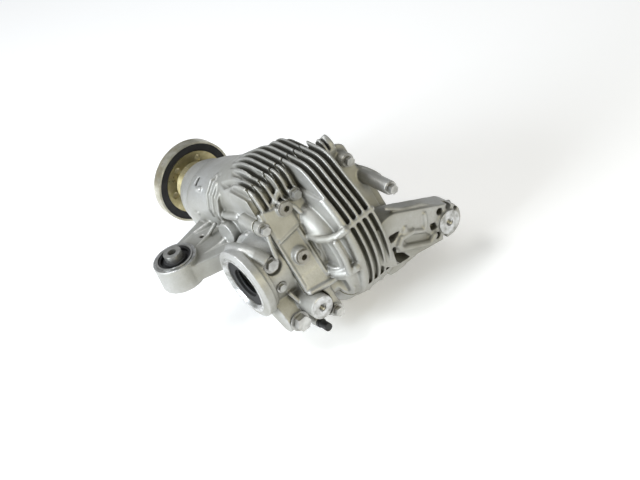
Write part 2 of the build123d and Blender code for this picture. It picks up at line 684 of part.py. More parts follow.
pinion_blank = [
    (24, 88), (24, head_x), (HEAD_SHAFT_R, head_x), (HEAD_SHAFT_R, HEAD_SEAT[1] + 1),
    (TAIL_SHAFT_R, HEAD_SEAT[1] + 3), (TAIL_SHAFT_R, 265), (13, 265), (13, RECESS_X + NUT), (0, RECESS_X + NUT),
    (0, 58),
]
with BuildPart() as pinion_gear:
    turned_gear = bevel_gear(
        PINION_TEETH, RING_TEETH, DRIVE_MODULE, DRIVE_FACE, 360 / PINION_TEETH / 4, pinion_blank
    )
    add(along_x(turned_gear))
pinion_gear.part.label = "pinion_gear"
export_step(pinion_gear.part, "parts/pinion_gear.step")

with BuildPart() as pinion_shim:
    add(along_x(ring(HEAD_SHAFT_R + 0.1, 23, head_x, HEAD_SEAT[0])))
pinion_shim.part.label = "pinion_shim"
export_step(pinion_shim.part, "parts/pinion_shim.step")

with BuildPart() as pinion_head_bearing:
    add(along_x(Pos(0, 0, HEAD_SEAT[0]) * bearing_inner(HEAD_SHAFT_R + SEAT_CLEARANCE, *HEAD_BEARING, 18)))
pinion_head_bearing.part.label = "pinion_head_bearing"
export_step(pinion_head_bearing.part, "parts/pinion_head_bearing.step")

with BuildPart() as pinion_tail_bearing:
    tail_inner = bearing_inner(TAIL_SHAFT_R + SEAT_CLEARANCE, *TAIL_BEARING, 18).mirror(Plane.XY)
    add(along_x(Pos(0, 0, TAIL_SEAT[1]) * tail_inner))
pinion_tail_bearing.part.label = "pinion_tail_bearing"
export_step(pinion_tail_bearing.part, "parts/pinion_tail_bearing.step")

with BuildPart() as pinion_spacer:
    add(along_x(turned([
        (HEAD_SHAFT_R + 0.3, HEAD_SEAT[1]), (21, HEAD_SEAT[1]), (21, 146), (19, 152), (19, TAIL_SEAT[0]),
        (TAIL_SHAFT_R + 0.3, TAIL_SEAT[0]), (TAIL_SHAFT_R + 0.3, 124), (HEAD_SHAFT_R + 0.3, 120),
    ])))
pinion_spacer.part.label = "pinion_spacer"
export_step(pinion_spacer.part, "parts/pinion_spacer.step")

with BuildPart() as input_flange:
    add(along_x(turned([
        (TAIL_SHAFT_R + SEAT_CLEARANCE, TAIL_SEAT[1]), (HUB_R, TAIL_SEAT[1]), (HUB_R, 252), (31, FLANGE_REAR_X),
        (DAMPER_IN_R, FLANGE_REAR_X), (DAMPER_IN_R, FLANGE_FACE_X), (RECESS_R, FLANGE_FACE_X),
        (RECESS_R, RECESS_X), (TAIL_SHAFT_R + SEAT_CLEARANCE, RECESS_X),
    ])))
    with BuildSketch(Plane.YZ.offset(FLANGE_REAR_X - 12)):
        with PolarLocations(FLANGE_PCD / 2, 6):
            Circle(FLANGE_HOLE_R)
    extrude(amount=40, mode=Mode.SUBTRACT)
input_flange.part.label = "input_flange"
export_step(input_flange.part, "parts/input_flange.step")

with BuildPart() as damper_rubber:
    add(along_x(ring(DAMPER_IN_R + 0.02, DAMPER_OUT_R, FLANGE_REAR_X + 1.5, FLANGE_FACE_X - 1.5)))
damper_rubber.part.label = "damper_rubber"
export_step(damper_rubber.part, "parts/damper_rubber.step")

with BuildPart() as damper_ring:
    add(along_x(ring(DAMPER_OUT_R + 0.02, FLANGE_R, FLANGE_REAR_X, FLANGE_FACE_X)))
damper_ring.part.label = "damper_ring"
export_step(damper_ring.part, "parts/damper_ring.step")

with BuildPart() as pinion_nut:
    with BuildSketch(Plane.YZ.offset(RECESS_X)):
        RegularPolygon(18, 6, major_radius=False)
        Circle(13 + SEAT_CLEARANCE, mode=Mode.SUBTRACT)
    extrude(amount=NUT)
pinion_nut.part.label = "pinion_nut"
export_step(pinion_nut.part, "parts/pinion_nut.step")

# ---------------------------------------------------------------- ring gear and differential case
RING_BACK_Y = -50.0
CASE_FLANGE = 6.0
RING_BORE_R = 46.0
RING_BOLT_PITCH_R = 62.0
TRUNNION_R = 22.0
HUB_BORE_R = 18.0
PIN_R = 6.0
SIDE_SEAT_Y = 29.0
LOCK_Z = 40.8

ring_blank = [
    (81, 33), (81, -RING_BACK_Y), (RING_BORE_R + SEAT_CLEARANCE, -RING_BACK_Y), (RING_BORE_R + SEAT_CLEARANCE, 42),
    (51, 40), (51, 24),
]
with BuildPart() as ring_gear:
    add(bevel_gear(RING_TEETH, PINION_TEETH, DRIVE_MODULE, DRIVE_FACE, 0, ring_blank).rotate(Axis.X, 90))
    with BuildSketch(Plane.XZ.offset(-RING_BACK_Y)):
        with PolarLocations(RING_BOLT_PITCH_R, 10):
            Circle(4 + SEAT_CLEARANCE)
    extrude(amount=-14, mode=Mode.SUBTRACT)
ring_gear.part.label = "ring_gear"
export_step(ring_gear.part, "parts/ring_gear.step")

with BuildPart() as differential_case:
    add(along_y(turned([
        (14.5, -86), (TRUNNION_R, -86), (TRUNNION_R, RIGHT_SEAT[1]), (28, RIGHT_SEAT[1]), (34, -62),
        (40, RING_BACK_Y - CASE_FLANGE), (71, RING_BACK_Y - CASE_FLANGE), (71, RING_BACK_Y),
        (RING_BORE_R, RING_BACK_Y), (RING_BORE_R, -43), (CASE_R, -43), (CASE_R, 36), (28, 53),
        (28, LEFT_SEAT[0]), (TRUNNION_R, LEFT_SEAT[0]), (TRUNNION_R, 78), (14.5, 78),
    ])))
    ball = Sphere(CASE_CAVITY_R, mode=Mode.PRIVATE)
    cavity = ball & block((-50, -SIDE_SEAT_Y, -50), (50, SIDE_SEAT_Y, 50))
    add(cavity, mode=Mode.SUBTRACT)
    add(bar_y(0, 0, HUB_BORE_R + RUN_CLEARANCE, -49, 49), mode=Mode.SUBTRACT)
    # windows for fitting the gears, cross pin bore, lock pin bore and ring bolt holes
    add(bar_x(0, 0, 21, -60, 60), mode=Mode.SUBTRACT)
    with BuildSketch(Plane.XY.offset(-60)):
        Circle(PIN_R + SEAT_CLEARANCE)
    extrude(amount=120, mode=Mode.SUBTRACT)
    add(bar_x(0, LOCK_Z, 1.5 + SEAT_CLEARANCE, -30, 30), mode=Mode.SUBTRACT)
    with BuildSketch(Plane.XZ.offset(-RING_BACK_Y - 1)):
        with PolarLocations(RING_BOLT_PITCH_R, 10):
            Circle(4 + SEAT_CLEARANCE)
    extrude(amount=CASE_FLANGE + 2, mode=Mode.SUBTRACT)
differential_case.part.label = "differential_case"
export_step(differential_case.part, "parts/differential_case.step")

with BuildPart() as ring_gear_bolts:
    with BuildSketch(Plane.XZ.offset(-RING_BACK_Y - 12)):
        with PolarLocations(RING_BOLT_PITCH_R, 10):
            Circle(4)
    extrude(amount=12 + CASE_FLANGE)
    with BuildSketch(Plane.XZ.offset(-RING_BACK_Y + CASE_FLANGE)):
        with PolarLocations(RING_BOLT_PITCH_R, 10):
            RegularPolygon(6.5, 6)
    extrude(amount=4)
ring_gear_bolts.part.label = "ring_gear_bolts"
export_step(ring_gear_bolts.part, "parts/ring_gear_bolts.step")

with BuildPart() as cross_pin:
    with BuildSketch(Plane.XY.offset(-43)):
        Circle(PIN_R)
    extrude(amount=86)
    add(bar_x(0, LOCK_Z, 1.5 + SEAT_CLEARANCE, -30, 30), mode=Mode.SUBTRACT)
cross_pin.part.label = "cross_pin"
export_step(cross_pin.part, "parts/cross_pin.step")

with BuildPart() as cross_pin_lock:
    add(bar_x(0, LOCK_Z, 1.5, -15, 15))
cross_pin_lock.part.label = "cross_pin_lock"
export_step(cross_pin_lock.part, "parts/cross_pin_lock.step")

carrier_inner = bearing_inner(TRUNNION_R + SEAT_CLEARANCE, *CARRIER_BEARING, 24)
left_inner = along_y(Pos(0, 0, LEFT_SEAT[0]) * carrier_inner)
with BuildPart() as carrier_bearings:
    add(left_inner)
    add(Pos(0, LEFT_SEAT[0] + RIGHT_SEAT[1], 0) * left_inner.mirror(Plane.XZ))
carrier_bearings.part.label = "carrier_bearings"
export_step(carrier_bearings.part, "parts/carrier_bearings.step")

# ---------------------------------------------------------------- differential gears
side_blank = [(23.3, 21), (23.3, 28), (HUB_BORE_R, 28), (HUB_BORE_R, 46), (12.2, 46), (12.2, 11)]
side_gear = bevel_gear(SIDE_TEETH, SPIDER_TEETH, DIFF_MODULE, DIFF_FACE, 0, side_blank)
with BuildPart() as spline:
    with BuildSketch(Plane.XY):
        with PolarLocations(12.6, 20):
            Rectangle(1.8, 1.9)
    extrude(amount=60)
splined_gear = side_gear - spline.part

with BuildPart() as left_side_gear:
    add(along_y(splined_gear))
left_side_gear.part.label = "left_side_gear"
export_step(left_side_gear.part, "parts/left_side_gear.step")

with BuildPart() as right_side_gear:
    add(splined_gear.rotate(Axis.X, 90))
right_side_gear.part.label = "right_side_gear"
export_step(right_side_gear.part, "parts/right_side_gear.step")

spider_blank = [(15.5, 29), (15.5, 33.5), (PIN_R + RUN_CLEARANCE, 33.5), (PIN_R + RUN_CLEARANCE, 16.4)]
spider_gear = bevel_gear(SPIDER_TEETH, SIDE_TEETH, DIFF_MODULE, DIFF_FACE, 0, spider_blank)

with BuildPart() as upper_spider_gear:
    add(spider_gear)
upper_spider_gear.part.label = "upper_spider_gear"
export_step(upper_spider_gear.part, "parts/upper_spider_gear.step")

with BuildPart() as lower_spider_gear:
    add(spider_gear.rotate(Axis.X, 180))
lower_spider_gear.part.label = "lower_spider_gear"
export_step(lower_spider_gear.part, "parts/lower_spider_gear.step")

with BuildPart() as side_gear_washers:
    for sign in (-1, 1):
        low, high = sorted((sign * 28.08, sign * (SIDE_SEAT_Y - 0.02)))
        add(along_y(ring(HUB_BORE_R + 0.3, 23.2, low, high)))
side_gear_washers.part.label = "side_gear_washers"
export_step(side_gear_washers.part, "parts/side_gear_washers.step")

dome_r = CASE_CAVITY_R - 0.1
with BuildPart() as spider_washer:
    with BuildSketch(Plane.XZ):
        with BuildLine():
            Polyline((6.4, 36.0), (6.4, 33.6), (14.6, 33.6), (14.6, math.sqrt(dome_r**2 - 14.6**2)))
            Line((14.6, math.sqrt(dome_r**2 - 14.6**2)), (6.4, 36.0))
        make_face()
    revolve(axis=Axis.Z)
with BuildPart() as spider_washers:
    add(spider_washer.part)
    add(spider_washer.part.mirror(Plane.XY))
spider_washers.part.label = "spider_washers"
export_step(spider_washers.part, "parts/spider_washers.step")
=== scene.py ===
import bpy
import bmesh
import json
import math
from mathutils import Matrix, Vector
from mathutils.bvhtree import BVHTree


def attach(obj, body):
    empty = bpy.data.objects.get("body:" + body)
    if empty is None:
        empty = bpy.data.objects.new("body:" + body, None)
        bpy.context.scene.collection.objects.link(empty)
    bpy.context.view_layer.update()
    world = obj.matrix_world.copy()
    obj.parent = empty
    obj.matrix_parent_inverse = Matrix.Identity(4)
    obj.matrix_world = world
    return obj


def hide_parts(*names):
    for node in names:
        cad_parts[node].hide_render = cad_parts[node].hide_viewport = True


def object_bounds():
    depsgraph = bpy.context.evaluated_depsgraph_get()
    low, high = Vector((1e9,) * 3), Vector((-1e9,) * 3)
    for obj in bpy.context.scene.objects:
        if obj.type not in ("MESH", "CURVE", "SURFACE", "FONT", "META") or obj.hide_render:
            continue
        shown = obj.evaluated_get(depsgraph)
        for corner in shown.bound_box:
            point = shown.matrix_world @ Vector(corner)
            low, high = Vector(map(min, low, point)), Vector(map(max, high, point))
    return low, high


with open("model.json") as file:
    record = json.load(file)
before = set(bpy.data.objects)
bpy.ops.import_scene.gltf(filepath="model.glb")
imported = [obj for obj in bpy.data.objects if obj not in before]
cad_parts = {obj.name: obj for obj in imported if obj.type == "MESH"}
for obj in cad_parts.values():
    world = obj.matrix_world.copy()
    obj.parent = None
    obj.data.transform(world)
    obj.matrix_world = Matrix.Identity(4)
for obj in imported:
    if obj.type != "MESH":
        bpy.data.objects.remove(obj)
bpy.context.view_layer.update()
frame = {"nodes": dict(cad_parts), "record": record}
nodes = frame["nodes"]
MM = 0.001

# ---------------------------------------------------------------- camera, at the photo's angle
CAMERA_AT = Vector((-1.3449, 0.5952, 1.0380))
LOOK = Vector((0.7393, -0.3413, -0.5804)).normalized()
NEARLY_UP = Vector((0.3264, -0.5722, 0.7523)).normalized()
RIGHT = LOOK.cross(NEARLY_UP).normalized()
UP = RIGHT.cross(LOOK).normalized()
FOCAL_LENGTH = 77.9
SENSOR_WIDTH = 36.0

camera_data = bpy.data.cameras.new("camera")
camera_data.lens = FOCAL_LENGTH
camera_data.sensor_width = SENSOR_WIDTH
camera = bpy.data.objects.new("camera", camera_data)
bpy.context.scene.collection.objects.link(camera)
turn = Matrix((RIGHT, UP, -LOOK)).transposed().to_4x4()
camera.matrix_world = Matrix.Translation(CAMERA_AT) @ turn
bpy.context.scene.camera = camera
bpy.context.scene.view_settings.view_transform = "Standard"


# ---------------------------------------------------------------- materials
# sockets of the Mix node when it mixes colours
MIX_FACTOR, MIX_A, MIX_B, MIX_RESULT = 0, 6, 7, 2
AO_SAMPLES = 4


class Nodes:
    """A small helper that builds one node material."""

    def __init__(self, name):
        self.material = bpy.data.materials.new(name)
        self.material.use_nodes = True
        self.tree = self.material.node_tree
        self.tree.nodes.clear()
        output = self.add("ShaderNodeOutputMaterial")
        self.shader = self.add("ShaderNodeBsdfPrincipled")
        self.link(self.shader.outputs["BSDF"], output.inputs["Surface"])
        self.place = self.add("ShaderNodeTexCoord").outputs["Object"]

    def add(self, kind, **values):
        node = self.tree.nodes.new(kind)
        for key, value in values.items():
            setattr(node, key, value)
        return node

    def link(self, a, b):
        self.tree.links.new(a, b)

    def feed(self, socket, value):
        """Puts a number, a colour or another node's output into a socket."""
        if isinstance(value, (int, float)):
            socket.default_value = value
        elif isinstance(value, tuple):
            socket.default_value = (*value, 1.0)
        else:
            self.link(value, socket)

    def scaled(self, factors):
        node = self.add("ShaderNodeMapping")
        node.inputs["Scale"].default_value = factors
        self.link(self.place, node.inputs["Vector"])
        return node.outputs["Vector"]

    def noise(self, scale, detail, rough, vector=None):
        node = self.add("ShaderNodeTexNoise")
        node.inputs["Scale"].default_value = scale
        node.inputs["Detail"].default_value = detail
        node.inputs["Roughness"].default_value = rough
        self.link(vector or self.place, node.inputs["Vector"])
        return node.outputs["Fac"]

    def ramp(self, value, stops):
        node = self.add("ShaderNodeValToRGB")
        elements = node.color_ramp.elements
        while len(elements) < len(stops):
            elements.new(0.5)
        for element, (position, colour) in zip(elements, stops):
            element.position = position
            element.color = (*colour, 1.0)
        self.link(value, node.inputs["Fac"])
        return node.outputs["Color"]

    def remap(self, value, low, high, to_low, to_high):
        node = self.add("ShaderNodeMapRange")
        node.inputs["From Min"].default_value = low
        node.inputs["From Max"].default_value = high
        node.inputs["To Min"].default_value = to_low
        node.inputs["To Max"].default_value = to_high
        self.link(value, node.inputs["Value"])
        return node.outputs["Result"]

    def mix(self, factor, a, b):
        node = self.add("ShaderNodeMix", data_type="RGBA", blend_type="MIX")
        for index, value in ((MIX_FACTOR, factor), (MIX_A, a), (MIX_B, b)):
            self.feed(node.inputs[index], value)
        return node.outputs[MIX_RESULT]

    def times(self, value, number):
        node = self.add("ShaderNodeMath", operation="MULTIPLY")
        self.feed(node.inputs[0], value)
        self.feed(node.inputs[1], number)
        return node.outputs[0]

    def occluded(self, distance):
        node = self.add("ShaderNodeAmbientOcclusion", samples=AO_SAMPLES)
        node.inputs["Distance"].default_value = distance
        return node.outputs["AO"]

    def pointiness(self):
        return self.add("ShaderNodeNewGeometry").outputs["Pointiness"]

    def bump(self, height, strength, distance, under=None):
        node = self.add("ShaderNodeBump")
        node.inputs["Strength"].default_value = strength
        node.inputs["Distance"].default_value = distance
        self.link(height, node.inputs["Height"])
        if under is not None:
            self.link(under, node.inputs["Normal"])
        return node.outputs["Normal"]

    def finish(self, colour, rough, normal=None, metallic=0.0, glow=None):
        self.feed(self.shader.inputs["Base Color"], colour)
        self.feed(self.shader.inputs["Roughness"], rough)
        self.shader.inputs["Metallic"].default_value = metallic
        if normal is not None:
            self.link(normal, self.shader.inputs["Normal"])
        if glow is not None:
            self.shader.inputs["Emission Strength"].default_value = glow
        return self.material


def cast_material():
    """Sand-cast aluminium: pale grey with cloudy stains, fine grit and painted shade in the
    corners.
    """
    stained, plain, pale = (0.33, 0.325, 0.29), (0.43, 0.43, 0.41), (0.53, 0.535, 0.53)
    grit, painted_shade, rubbed = (0.33, 0.32, 0.28), (0.055, 0.050, 0.030), (0.62, 0.62, 0.61)
    m = Nodes("cast_aluminium")
    clouds = m.noise(14.0, 5.0, 0.6)
    grain = m.noise(330.0, 4.0, 0.7)
    specks = m.noise(900.0, 2.0, 0.6)
    tone = m.ramp(clouds, [(0.30, stained), (0.50, plain), (0.72, pale)])
    tone = m.mix(m.remap(grain, 0.35, 0.65, 0.0, 0.35), tone, grit)
    # painted shade: the near-black colour mixed in below darkens corners and slots, where ambient
    # occlusion finds them
    corners = m.remap(m.occluded(0.011), 0.30, 0.92, 1.0, 0.0)
    tone = m.mix(m.times(corners, 0.75), tone, painted_shade)
    edges = m.remap(m.pointiness(), 0.52, 0.60, 0.0, 0.5)
    tone = m.mix(edges, tone, rubbed)
    rough = m.remap(clouds, 0.3, 0.7, 0.54, 0.38)
    coarse = m.bump(grain, 0.30, 0.0009)
    fine = m.bump(specks, 0.25, 0.0004, coarse)
    return m.finish(tone, rough, fine, 0.55)


def machined_material():
    """Turned aluminium: bright, with fine tool marks and small mottled stains."""
    stained, plain, bright = (0.30, 0.30, 0.28), (0.50, 0.50, 0.49), (0.68, 0.69, 0.70)
    m = Nodes("machined_aluminium")
    blots = m.noise(120.0, 4.0, 0.6)
    marks = m.noise(60.0, 2.0, 0.5, m.scaled((4.0, 90.0, 4.0)))
    tone = m.ramp(blots, [(0.36, stained), (0.50, plain), (0.68, bright)])
    rough = m.remap(blots, 0.3, 0.7, 0.42, 0.24)
    return m.finish(tone, rough, m.bump(marks, 0.12, 0.0003), 0.85)


def steel_material(name, dark, light, rough_low, rough_high, metallic=0.9,
                   stain=(0.25, 0.20, 0.13), amount=0.3):
    """Steel with cloudy plating, light scratches and a little painted shade in the corners."""
    painted_shade = (0.05, 0.045, 0.035)
    m = Nodes(name)
    clouds = m.noise(70.0, 4.0, 0.6)
    scratches = m.noise(180.0, 3.0, 0.6, m.scaled((0.25, 3.0, 1.0)))
    tone = m.ramp(clouds, [(0.35, dark), (0.65, light)])
    tone = m.mix(m.remap(m.noise(28.0, 5.0, 0.65), 0.5, 0.75, 0.0, amount), tone, stain)
    # painted shade: the dark colour mixed in below darkens corners, where ambient occlusion finds
    # them
    corners = m.remap(m.occluded(0.004), 0.4, 0.95, 0.6, 0.0)
    tone = m.mix(corners, tone, painted_shade)
    rough = m.remap(clouds, 0.3, 0.7, rough_low, rough_high)
    return m.finish(tone, rough, m.bump(scratches, 0.15, 0.0002), metallic)


def rubber_material(name, colour, rough=0.62):
    """Moulded rubber: near black, dusty, with a fine matt grain."""
    m = Nodes(name)
    dust = m.noise(55.0, 5.0, 0.6)
    grain = m.noise(1200.0, 2.0, 0.5)
    dusty = tuple(c * 2.6 + 0.012 for c in colour)
    tone = m.ramp(dust, [(0.42, colour), (0.80, dusty)])
    roughness = m.remap(dust, 0.3, 0.7, rough, rough + 0.18)
    return m.finish(tone, roughness, m.bump(grain, 0.2, 0.0002))


GREEN_STAIN, BROWN_STAIN = (0.34, 0.36, 0.22), (0.45, 0.37, 0.18)
CAST = cast_material()
MACHINED = machined_material()
ZINC = steel_material("zinc_steel", (0.36, 0.36, 0.35), (0.60, 0.60, 0.58), 0.46, 0.30)
PLUG = steel_material("plug_steel", (0.30, 0.29, 0.26), (0.46, 0.44, 0.40), 0.5, 0.36, 0.8)
GOLD = steel_material("yellow_zinc", (0.46, 0.40, 0.20), (0.66, 0.58, 0.34), 0.42, 0.26, 0.85,
                      GREEN_STAIN, 0.6)
DAMPER = steel_material("damper_steel", (0.42, 0.40, 0.31), (0.68, 0.66, 0.58), 0.38, 0.26, 0.85,
                        BROWN_STAIN, 0.75)
GEAR = steel_material("gear_steel", (0.26, 0.26, 0.27), (0.42, 0.42, 0.44), 0.38, 0.26)
SHAFT = steel_material("shaft_steel", (0.40, 0.40, 0.41), (0.58, 0.58, 0.60), 0.36, 0.24)
BEARING = steel_material("bearing_steel", (0.55, 0.55, 0.56), (0.72, 0.72, 0.74), 0.26, 0.16,
                         0.95, amount=0.08)
IRON = steel_material("case_iron", (0.14, 0.14, 0.14), (0.26, 0.26, 0.25), 0.62, 0.48, 0.5)
WASHER = steel_material("washer_metal", (0.36, 0.34, 0.29), (0.52, 0.50, 0.45), 0.5, 0.36, 0.8)
RUBBER = rubber_material("bush_rubber", (0.010, 0.010, 0.011))
SEAL = rubber_material("seal_rubber", (0.006, 0.006, 0.006), 0.6)
PLASTIC = rubber_material("breather_plastic", (0.012, 0.012, 0.012), 0.4)
SEALANT = rubber_material("sealant_bead", (0.085, 0.078, 0.040), 0.5)

FINISHES = {
    "cast_aluminium": CAST, "sealant": SEALANT, "zinc_bolts": ZINC, "plug_steel": PLUG,
    "washer_metal": WASHER, "dowel_steel": SHAFT, "breather_black": PLASTIC, "bush_steel": ZINC,
    "bush_rubber": RUBBER, "seal_black": SEAL, "bearing_steel": BEARING, "gear_steel": GEAR,
    "shaft_steel": SHAFT, "flange_gold": GOLD, "damper_black": RUBBER, "damper_steel": DAMPER,
    "case_iron": IRON,
}
slot_of = {entry["node"]: entry["material_slot"] for entry in frame["record"]["subparts"]}
for name, node in nodes.items():
    node.data.materials.clear()
    node.data.materials.append(FINISHES[slot_of[name]])

# edges that catch the light: bevel widths in millimetres
ROUNDED = {
    "cover_bolts": 0.5, "lug_bolt": 0.7, "side_screws": 0.4, "filler_plug": 0.5,
    "drain_plug": 0.5, "breather": 0.6, "bush_shell": 0.5, "bush_sleeve": 0.6,
    "bush_rubber": 0.6, "input_flange": 0.5, "damper_ring": 0.8, "damper_rubber": 0.4,
    "pinion_nut": 0.6, "left_output_seal": 0.3, "right_output_seal": 0.3,
}
SHARPER_THAN = math.radians(40)
BEVEL_SEGMENTS = 2
for name, width in ROUNDED.items():
    bevel = nodes[name].modifiers.new("rounded", "BEVEL")
    bevel.width = width * MM
    bevel.segments = BEVEL_SEGMENTS
    bevel.limit_method = "ANGLE"
    bevel.angle_limit = SHARPER_THAN
    bevel.use_clamp_overlap = True

# ---------------------------------------------------------------- shapes, in millimetres
HOUSING_BODY = "housing"
REAR, FRONT = (-1, 0, 0), (1, 0, 0)
NEAR, FAR = (0, 1, 0), (0, -1, 0)
UPWARD = (0, 0, 1)

# the joint between housing and cover leans back
TILT = math.radians(22.5)
JOINT_AT = Vector((4.0, 0.0, 121.0))
REARWARD = Vector((-math.cos(TILT), 0.0, math.sin(TILT)))
DOWN_SLOPE = Vector((-math.sin(TILT), 0.0, -math.cos(TILT)))

ROD_SIDES = 28
RIB_SIDES = 16
SLEEVE_SIDES = 64
BALL_SUBDIVISIONS = 3


def on_joint(y, s, offset=0.0):
    """A point y along the axle and s down the sloping joint, offset rearwards of it."""
    return JOINT_AT + Vector((0.0, y, 0.0)) + DOWN_SLOPE * s + REARWARD * offset


def side_outline(y, outline):
    """Points seen from the side, (x, z), put at one place along the axle."""
    return [(x, y, z) for x, z in outline]


def rear_outline(x, outline):
    """Points seen from the rear, (y, z), put at one place along the pinion's axis."""
    return [(x, y, z) for y, z in outline]


def facing(at, direction):
    """A place at a point, its local +Z along a direction."""
    turn = Vector(direction).to_track_quat("Z", "Y").to_matrix().to_4x4()
    return Matrix.Translation(Vector(at) * MM) @ turn


def join_rows(bm, row, following):
    """Quads between two closed rows of vertices."""
    for k in range(len(row)):
        m = (k + 1) % len(row)
        bm.faces.new((row[k], following[k], following[m], row[m]))


def turned(bm, place, profile, sides):
    """A ring turned from a closed (radius, height) profile about local +Z of a place."""
    rows = []
    for i in range(sides):
        angle = math.tau * i / sides
        c, s = math.cos(angle), math.sin(angle)
        rows.append([bm.verts.new(place @ (Vector((r * c, r * s, h)) * MM)) for r, h in profile])
    for i in range(sides):
        join_rows(bm, rows[i], rows[(i + 1) % sides])


def prism(bm, points, along):
    """A polygon swept along a vector."""
    low = [bm.verts.new(Vector(p) * MM) for p in points]
    high = [bm.verts.new((Vector(p) + Vector(along)) * MM) for p in points]
    bm.faces.new(low)
    bm.faces.new(reversed(high))
    for i in range(len(points)):
        k = (i + 1) % len(points)
        bm.faces.new((low[k], low[i], high[i], high[k]))


def rod(bm, a, b, radius, radius_end=None, sides=ROD_SIDES):
    """A round bar from a to b, which may taper."""
    a, b = Vector(a) * MM, Vector(b) * MM
    turn = (b - a).to_track_quat("Z", "Y").to_matrix().to_4x4()
    place = Matrix.Translation((a + b) / 2) @ turn
    end = radius if radius_end is None else radius_end
    bmesh.ops.create_cone(
        bm, cap_ends=True, segments=sides, radius1=radius * MM, radius2=end * MM,
        depth=(b - a).length, matrix=place,
    )


def ball(bm, at, radius):
    """A round knob."""
    place = Matrix.Translation(Vector(at) * MM)
    bmesh.ops.create_icosphere(
        bm, subdivisions=BALL_SUBDIVISIONS, radius=radius * MM, matrix=place
    )


def bead(bm, points, radius):
    """A rounded rib through points."""
    for a, b in zip(points, points[1:]):
        rod(bm, a, b, radius)
    for point in points:
        ball(bm, point, radius)


def sleeve(bm, centre, axis, inner, outer, length):
    """A short tube from a point along an axis."""
    profile = ((inner, 0), (outer, 0), (outer, length), (inner, length))
    turned(bm, facing(centre, axis), profile, SLEEVE_SIDES)


def laid(bm, tree, points, along, radius):
    """A rib laid on a casting: each point is dropped along a direction on to the surface."""
    steps = 5
    drop_from = 200
    sunk = 1.0
    shortest, longest = 0.1, 30
    direction = Vector(along)
    path = []
    for a, b in zip(points, points[1:]):
        for i in range(steps + 1):
            path.append(Vector(a).lerp(Vector(b), i / steps))
    hits = []
    for point in path:
        hit = tree.ray_cast((point - direction * drop_from) * MM, direction)[0]
        if hit is not None:
            hits.append(hit / MM + direction * sunk)
    for a, b in zip(hits, hits[1:]):
        if shortest < (b - a).length < longest:
            rod(bm, a, b, radius, sides=RIB_SIDES)
            ball(bm, b, radius)


def plate_patch(bm, corners, low, high):
    """A flat pad on the sloping joint: corners as (y, s), from one offset to another."""
    prism(bm, [on_joint(y, s, low) for y, s in corners], REARWARD * (high - low))


def finished(bm):
    """The mesh of a bmesh, with its faces turned outwards."""
    bmesh.ops.recalc_face_normals(bm, faces=bm.faces)
    mesh = bpy.data.meshes.new("shape")
    bm.to_mesh(mesh)
    bm.free()
    return mesh


def cover_cuts(bm):
    """What is cut out of the cover."""
    # hollow at the arm's root
    hollow = ((-70, -4), (-90, -7), (-76, -15), (-73, -33), (-83, -40), (-90, -53), (-69, -50))
    prism(bm, rear_outline(-110, hollow), (34, 0, 0))
    # pockets around the arm's threaded boss
    pockets = ((-153, -23, 4.8), (-168, -25, 4.4), (-178, -34, 3.2), (-139, -53, 4.8),
               (-149, -63, 3.6))
    for y, z, radius in pockets:
        rod(bm, (-112, y, z), (-86, y, z), radius)
    pocket = ((-133, -30), (-142, -33), (-142, -43), (-132, -40))
    prism(bm, rear_outline(-110, pocket), (22, 0, 0))
    # recessed panel between the arm's ribs
    panel = ((-100, -22), (-124, -37), (-133, -50), (-124, -51), (-92, -33), (-88, -24))
    prism(bm, rear_outline(-110, panel), (13.5, 0, 0))
    # pockets in the near flank of the dome
    upper = ((-55, 27), (-74, 30), (-84, 14), (-84, -6), (-58, -9))
    prism(bm, side_outline(1, upper), (0, 20, 0))
    lower = ((-65, -30), (-84, -28), (-82, -46), (-79, -54), (-75, -53))
    prism(bm, side_outline(-2, lower), (0, 20, 0))
    # groove between the plate and the dome
    bead(bm, [on_joint(9, s, 12) for s in (64, 90, 120, 150)], 3.0)
    # groove along the dome's shoulder, on an arc about its centre
    centre_x, centre_y, centre_z, reach = -8, 4, -14, 84
    arc = [math.radians(degrees) for degrees in (18, 26, 34, 42, 50)]
    shoulder = [
        (centre_x - reach * math.sin(t), centre_y, centre_z + reach * math.cos(t)) for t in arc
    ]
    bead(bm, shoulder, 5.0)
    # the far fins have blunt front ends
    blunt = ((10, 125), (10, 110), (0, 111), (-5, 116), (-9, 121), (-9, 125))
    prism(bm, side_outline(-66.5, blunt), (0, -24, 0))
    # small holes in the plate
    for y, s in ((33, 62), (34, 129)):
        rod(bm, on_joint(y, s, 14), on_joint(y, s, 5), 1.5)


